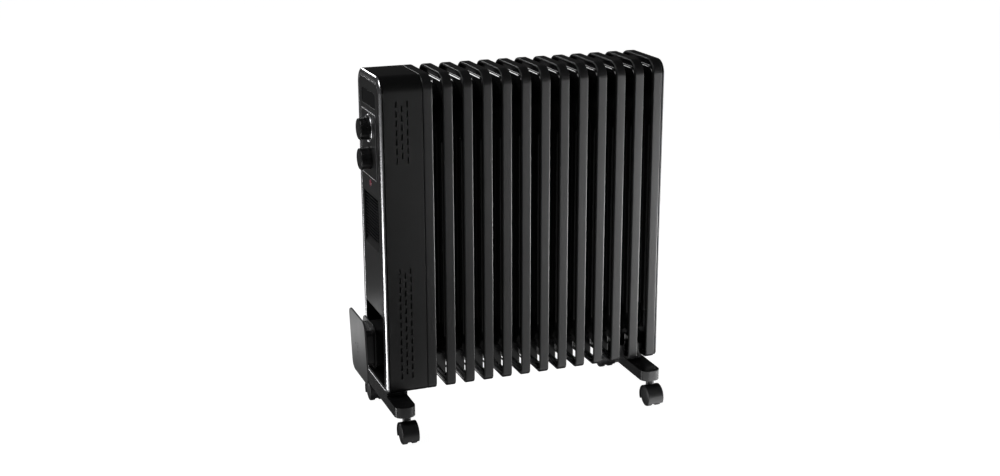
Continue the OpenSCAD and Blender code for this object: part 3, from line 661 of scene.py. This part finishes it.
class HEATER_OT_controls(bpy.types.Operator):
    """Knobs, ring and pilot light"""

    bl_idname = "heater.controls"
    bl_label = "Controls"

    def execute(self, context):
        for node, name, body in (
            ("thermostat_knob", "thermostat_grip", "thermostat_dial"),
            ("power_knob", "power_grip", "power_dial"),
        ):
            soften(node, name, body, "knob_moulding", 0.6, 3)
        self.bezel()
        self.dome()
        return {"FINISHED"}

    def bezel(self):
        """Bright ring round the thermostat knob."""
        low, high = node_box("thermostat_ring")
        centre = ((low.x + high.x) / 2, 0, (low.z + high.z) / 2)
        outer, thick = high.y, (high.x - low.x) / 2
        inner = outer - 2.8
        foot, knee, shoulder, crown = -thick * 0.2, thick * 0.4, thick * 0.8, thick * 0.95
        section = [
            (inner, -thick), (inner, foot), (inner + 0.25, knee),
            (inner + 0.75, shoulder), (inner + 1.4, crown),
            (outer - 0.75, shoulder), (outer - 0.25, knee), (outer, foot), (outer, -thick), (inner, -thick),
        ]
        bm = bmesh.new()
        lathe(bm, section, centre, (-1, 0, 0), 96)
        close(bm, "thermostat_bezel", "chassis", "ring_chrome", ["thermostat_ring"])

    def dome(self):
        """Domed lens of the pilot light."""
        low, high = node_box("pilot_lens")
        r, tall = high.y, high.x - low.x
        section = [
            (0, 0), (r, 0), (r, tall - 1.6), (r * 0.94, tall - 0.9),
            (r * 0.75, tall - 0.35), (r * 0.4, tall - 0.05), (0, tall),
        ]
        bm = bmesh.new()
        lathe(bm, section, (high.x, 0, (low.z + high.z) / 2), (-1, 0, 0), 48)
        close(bm, "pilot_dome", "chassis", "pilot_gloss", ["pilot_lens"])


class HEATER_OT_cord_store(bpy.types.Operator):
    """Cord bay, winder and inlet"""

    bl_idname = "heater.cord_store"
    bl_label = "Cord store"

    def execute(self, context):
        soften("cord_bay", "bay_tray", "chassis", "control_moulding", 0.5, 2)
        soften("winder_hub", "winder_core", "chassis", "control_moulding", 0.8, 2)
        soften("winder_plate", "winder_face", "chassis", "winder_moulding", 1.1, 3)
        soften("cord_inlet", "inlet_gland", "chassis", "inlet_rubber", 0.5, 2)
        return {"FINISHED"}


class HEATER_OT_feet(bpy.types.Operator):
    """Foot bars"""

    bl_idname = "heater.feet"
    bl_label = "Foot bars"

    def execute(self, context):
        for side in ("left", "right"):
            soften("foot_bar_" + side, "foot_rail_" + side, "chassis", "foot_enamel", 0.9, 3)
        return {"FINISHED"}


class HEATER_OT_castors(bpy.types.Operator):
    """Castor hoods and twin wheels"""

    bl_idname = "heater.castors"
    bl_label = "Castors"

    def execute(self, context):
        for name in CASTORS:
            frame_node, hood, yoke = ("castor_%s_%s" % (name, part) for part in ("frame", "hood", "yoke"))
            soften(frame_node, hood, yoke, "castor_moulding", 0.5, 2)
            for wheel, hand in (("a", -1), ("b", 1)):
                self.wheel(name, wheel, hand)
        return {"FINISHED"}

    def wheel(self, name, wheel, hand):
        """A tyre, its grooved shoulder and its slightly domed disc, hollow toward the other wheel."""
        node = "castor_%s_wheel_%s" % (name, wheel)
        low, high = node_box(node)
        r, t = (high.z - low.z) / 2, high.x - low.x
        inner = high.x if hand < 0 else low.x
        bore = 2.56
        profile = [
            (bore, 0), (r - 5, 0), (r - 4, 0.6), (r - 1.2, 0.6), (r, 1.6), (r, t - 3.4), (r - 0.4, t - 2.4),
            (r - 1.3, t - 2.0), (r - 1.9, t - 2.5), (r - 2.6, t - 1.7), (r * 0.72, t - 0.8),
            (r * 0.45, t - 0.25), (r * 0.2, t - 0.03), (0, t),
        ]
        bm = bmesh.new()
        lathe(bm, profile, (inner, (low.y + high.y) / 2, (low.z + high.z) / 2), (hand, 0, 0), 56)
        bmesh.ops.holes_fill(bm, edges=[e for e in bm.edges if e.is_boundary], sides=0)
        tyre, roller = ("castor_%s_%s_%s" % (name, part, wheel) for part in ("tyre", "roller"))
        close(bm, tyre, roller, "castor_moulding", [node])


class HEATER_OT_hardware(bpy.types.Operator):
    """Finishes for the pieces kept as they are"""

    bl_idname = "heater.hardware"
    bl_label = "Hardware"

    KEPT = {
        "zinc_plate": ["tower_back_plate", "foot_clamps", "foot_wing_nuts", "panel_screws"],
        "element_sheath": ["heating_element"],
        "turned_brass": ["element_flange", "filler_plug"],
        "turned_steel": ["thermostat_shaft", "selector_shaft"] + ["castor_%s_axle" % c for c in CASTORS],
        "switch_moulding": [
            "thermostat_body", "selector_switch", "tip_over_switch", "terminal_block", "thermal_cutout",
        ],
    }

    def execute(self, context):
        for finish, nodes in self.KEPT.items():
            for node in nodes:
                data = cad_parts[node].data
                data.materials.clear()
                data.materials.append(FINISHES[finish])
        return {"FINISHED"}


FLOOR_REACH = 40.0  # metres
EYE = (-0.8818, -2.3382, 1.073)  # metres
AZIMUTH, ELEVATION, ROLL = 20.49, 16.65, -0.19  # degrees
SENSOR, LENS = 36.0, 51.4  # millimetres


class HEATER_OT_stage(bpy.types.Operator):
    """Floor, studio lights, world and camera"""

    bl_idname = "heater.stage"
    bl_label = "Stage"

    # Name, place, what it faces, width and height, radiance; lengths in metres.
    LAMPS = (
        ("left_wall", (-2.4, -0.45, -0.60), (-0.25, -0.45, -0.60), (4.2, 0.65), 5.0),
        ("left_upper", (-2.4, -0.45, -0.12), (-0.25, -0.45, -0.12), (4.2, 0.3), 0.5),
        ("back_left", (-0.50, 0.58, -0.045), (-0.28, 0, 0.14), (0.26, 0.09), 1.7),
        ("back_card", (-1.1, 2.3, -0.4), (-0.25, 0, 0.3), (1.1, 1.2), 0.05),
        ("right_wall", (2.6, 0.9, 0.0), (0.2, 0, 0.3), (0.5, 2.2), 6.0),
        ("back_high", (-0.72, 2.0, 1.28), (0.0, 0, 0.6), (0.7, 0.5), 6.0),
        ("upper_left", (-1.9, -0.1, 2.3), (0.0, 0, 0.6), (1.2, 1.4), 5.0),
    )

    def execute(self, context):
        scene = context.scene
        scene.view_settings.view_transform = "Standard"
        self.floor()
        self.world(scene)
        for lamp in self.LAMPS:
            self.lamp(*lamp)
        self.glow()
        self.camera(scene)
        return {"FINISHED"}

    def floor(self):
        """Pale paper that only the camera sees."""
        bm = bmesh.new()
        bmesh.ops.create_grid(bm, x_segments=1, y_segments=1, size=FLOOR_REACH)
        mesh = bpy.data.meshes.new("studio_floor")
        bm.to_mesh(mesh)
        bm.free()
        floor = bpy.data.objects.new("studio_floor", mesh)
        bpy.context.scene.collection.objects.link(floor)
        finish = Finish("studio_paper", Roughness=0.9, Specular_IOR_Level=0.1)
        finish.feed("Base Color", finish.blend(finish.noise(0.4), (0.30, 0.30, 0.30), (0.32, 0.32, 0.32)))
        finish.shader.inputs["Emission Color"].default_value = (1, 1, 1, 1)
        finish.shader.inputs["Emission Strength"].default_value = 0.99
        mesh.materials.append(finish.material)
        floor.visible_glossy = False
        floor.visible_diffuse = False
        floor.visible_shadow = False

    def world(self, scene):
        """White behind the heater, dim grey for everything that is lit or mirrored."""
        world = bpy.data.worlds.new("studio")
        scene.world = world
        world.use_nodes = True
        tree = world.node_tree
        tree.nodes.clear()
        out = tree.nodes.new("ShaderNodeOutputWorld")
        mix = tree.nodes.new("ShaderNodeMixShader")
        path = tree.nodes.new("ShaderNodeLightPath")
        for index, level in ((1, 0.035), (2, 1.0)):
            shade = tree.nodes.new("ShaderNodeBackground")
            shade.inputs["Color"].default_value = (level, level, level, 1)
            tree.links.new(shade.outputs[0], mix.inputs[index])
        tree.links.new(path.outputs["Is Camera Ray"], mix.inputs[0])
        tree.links.new(mix.outputs[0], out.inputs[0])

    def glow(self):
        """Bounce card at floor level in front, dim to the left and bright to the right."""
        bm = bmesh.new()
        bmesh.ops.create_grid(bm, x_segments=1, y_segments=1, size=1.0)
        bmesh.ops.scale(bm, vec=(3.5, 2.6, 1), verts=bm.verts)
        bmesh.ops.translate(bm, vec=(1.5, -2.68, -0.03), verts=bm.verts)
        mesh = bpy.data.meshes.new("bounce_card")
        bm.to_mesh(mesh)
        bm.free()
        card = bpy.data.objects.new("bounce_card", mesh)
        bpy.context.scene.collection.objects.link(card)
        finish = Finish("bounce_paper", Roughness=1.0)
        across, along, _ = finish.split()
        fan = (across + 0.88) / (2.2 - along)
        greys = ((0.0, 0.05), (0.30, 0.08), (0.328, 0.34), (0.42, 0.85), (0.52, 2.3))
        stops = [(place, (grey, grey, grey, 1)) for place, grey in greys]
        ramp = finish.node("ShaderNodeValToRGB", {"stops": stops}, {0: fan})
        depth = along * -1
        near = finish.band(depth, 0.09, 0.16)
        close_by = 1 - finish.band(depth, 0.33, 0.38)
        strip = finish.band(fan, 0.60, 0.72) * (1 - finish.band(across, 1.5, 2.1))
        strip = strip * (1 - finish.band(depth, 0.9, 1.3))
        level = (finish.node("ShaderNodeRGBToBW", {}, {0: ramp}) + strip * 28.0 + close_by * 0.5) * near
        grey = finish.node("ShaderNodeCombineColor", {}, {0: level, 1: level, 2: level})
        finish.feed("Emission Color", grey)
        finish.shader.inputs["Emission Strength"].default_value = 1.0
        finish.shader.inputs["Base Color"].default_value = (0, 0, 0, 1)
        mesh.materials.append(finish.material)
        card.visible_camera = False

    def lamp(self, name, place, target, spread, radiance):
        """An area light of even radiance that the camera can't see."""
        data = bpy.data.lights.new(name, "AREA")
        data.shape, data.size, data.size_y = "RECTANGLE", *spread
        data.energy = radiance * math.pi * spread[0] * spread[1]
        lamp = bpy.data.objects.new(name, data)
        bpy.context.scene.collection.objects.link(lamp)
        lamp.visible_camera = False
        lamp.location = place
        lamp.rotation_euler = (Vector(target) - Vector(place)).to_track_quat("-Z", "Y").to_euler()

    def camera(self, scene):
        azimuth, elevation, roll = (math.radians(a) for a in (AZIMUTH, ELEVATION, ROLL))
        level = math.cos(elevation)
        ahead = Vector((math.sin(azimuth) * level, math.cos(azimuth) * level, -math.sin(elevation)))
        right = Vector((math.cos(azimuth), -math.sin(azimuth), 0))
        up = right.cross(ahead)
        turned = right * math.cos(roll) + up * math.sin(roll)
        lifted = turned.cross(ahead)
        data = bpy.data.cameras.new("camera")
        data.sensor_width, data.lens = SENSOR, LENS
        data.clip_end = 100.0
        camera = bpy.data.objects.new("camera", data)
        scene.collection.objects.link(camera)
        basis = Matrix((turned, lifted, -ahead)).transposed().to_4x4()
        basis.translation = EYE
        camera.matrix_world = basis
        scene.camera = camera


class HEATER_PT_panel(bpy.types.Panel):
    """Buttons for each group of pieces"""

    bl_idname = "HEATER_PT_panel"
    bl_label = "Column radiator"
    bl_space_type = "VIEW_3D"
    bl_region_type = "UI"
    bl_category = "Heater"

    def draw(self, context):
        for operator in OPERATORS:
            self.layout.operator(operator.bl_idname)


OPERATORS = (
    HEATER_OT_finishes,
    HEATER_OT_fins,
    HEATER_OT_end_cover,
    HEATER_OT_tower,
    HEATER_OT_controls,
    HEATER_OT_cord_store,
    HEATER_OT_feet,
    HEATER_OT_castors,
    HEATER_OT_hardware,
    HEATER_OT_stage,
)
CLASSES = (HeaterSizes, HeaterColours, *OPERATORS, HEATER_PT_panel)


def register():
    for item in CLASSES:
        bpy.utils.register_class(item)
    bpy.types.Scene.heater_sizes = PointerProperty(type=HeaterSizes)
    bpy.types.Scene.heater_colours = PointerProperty(type=HeaterColours)


def unregister():
    del bpy.types.Scene.heater_colours
    del bpy.types.Scene.heater_sizes
    for item in reversed(CLASSES):
        bpy.utils.unregister_class(item)


def main():
    register()
    for operator in OPERATORS:
        group, name = operator.bl_idname.split(".")
        getattr(getattr(bpy.ops, group), name)()
    bpy.context.view_layer.update()


if __name__ == "__main__":
    main()
